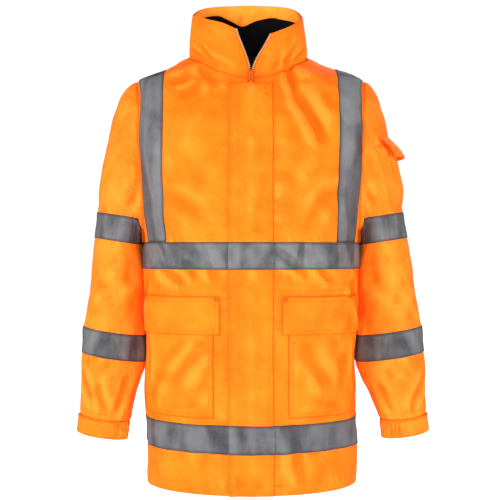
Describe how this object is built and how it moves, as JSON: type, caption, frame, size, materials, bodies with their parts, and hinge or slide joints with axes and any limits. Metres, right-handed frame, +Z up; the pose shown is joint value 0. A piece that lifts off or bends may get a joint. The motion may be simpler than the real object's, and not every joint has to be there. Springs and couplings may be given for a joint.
{
  "type": "hi-vis work jacket",
  "caption": "Long work jacket with stand collar, zip under a storm flap, flapped patch pockets, sleeve pocket and reflective tapes, held in its worn shape and open at neck, cuffs and hem.",
  "frame": {"origin": "where the jacket hangs on the wearer's shoulders: on the centre line, midway between front and back, between the heights of the shoulder points and the neck points", "axes": "+Z up, -Y the front of the jacket, +X the wearer's left"},
  "size_m": [0.6687, 0.2977, 0.9225],
  "materials": {
    "orange_cloth": "fluorescent orange coated woven polyester, matt with a soft sheen",
    "reflective_tape": "grey retroreflective tape with a fine surface texture",
    "fleece": "black brushed fleece and quilted lining",
    "zip_tape": "moulded cream teeth on orange tape",
    "slider_metal": "satin grey enamel",
    "pull_plastic": "orange moulded plastic"
  },
  "bodies": {
    "jacket": {"back": "orange_cloth", "collar": "orange_cloth", "collar_facing": "orange_cloth", "cuff_left": "orange_cloth", "cuff_right": "orange_cloth", "cuff_tab_left": "orange_cloth", "cuff_tab_right": "orange_cloth", "front_left": "orange_cloth", "front_right": "orange_cloth", "neck_lining": "fleece", "pocket_flap_left": "orange_cloth", "pocket_flap_right": "orange_cloth", "pocket_left": "orange_cloth", "pocket_right": "orange_cloth", "sleeve_left": "orange_cloth", "sleeve_pocket": "orange_cloth", "sleeve_pocket_flap": "orange_cloth", "sleeve_right": "orange_cloth", "storm_flap": "orange_cloth", "tape_brace_left": "reflective_tape", "tape_brace_right": "reflective_tape", "tape_flap_hem": "reflective_tape", "tape_flap_waist": "reflective_tape", "tape_forearm_left": "reflective_tape", "tape_forearm_right": "reflective_tape", "tape_hem": "reflective_tape", "tape_upper_arm_left": "reflective_tape", "tape_upper_arm_right": "reflective_tape", "tape_waist": "reflective_tape", "zip": "zip_tape", "zip_slider": "slider_metal"},
    "zip_pull": {"zip_pull": "pull_plastic"}
  },
  "joints": [
    {"name": "zip_pull_swing", "type": "hinge", "parent": "jacket", "child": "zip_pull", "pos_m": [0, -0.10208, -0.02316], "axis": [-1, 0, 0], "range_deg": [0, 150]}
  ]
}
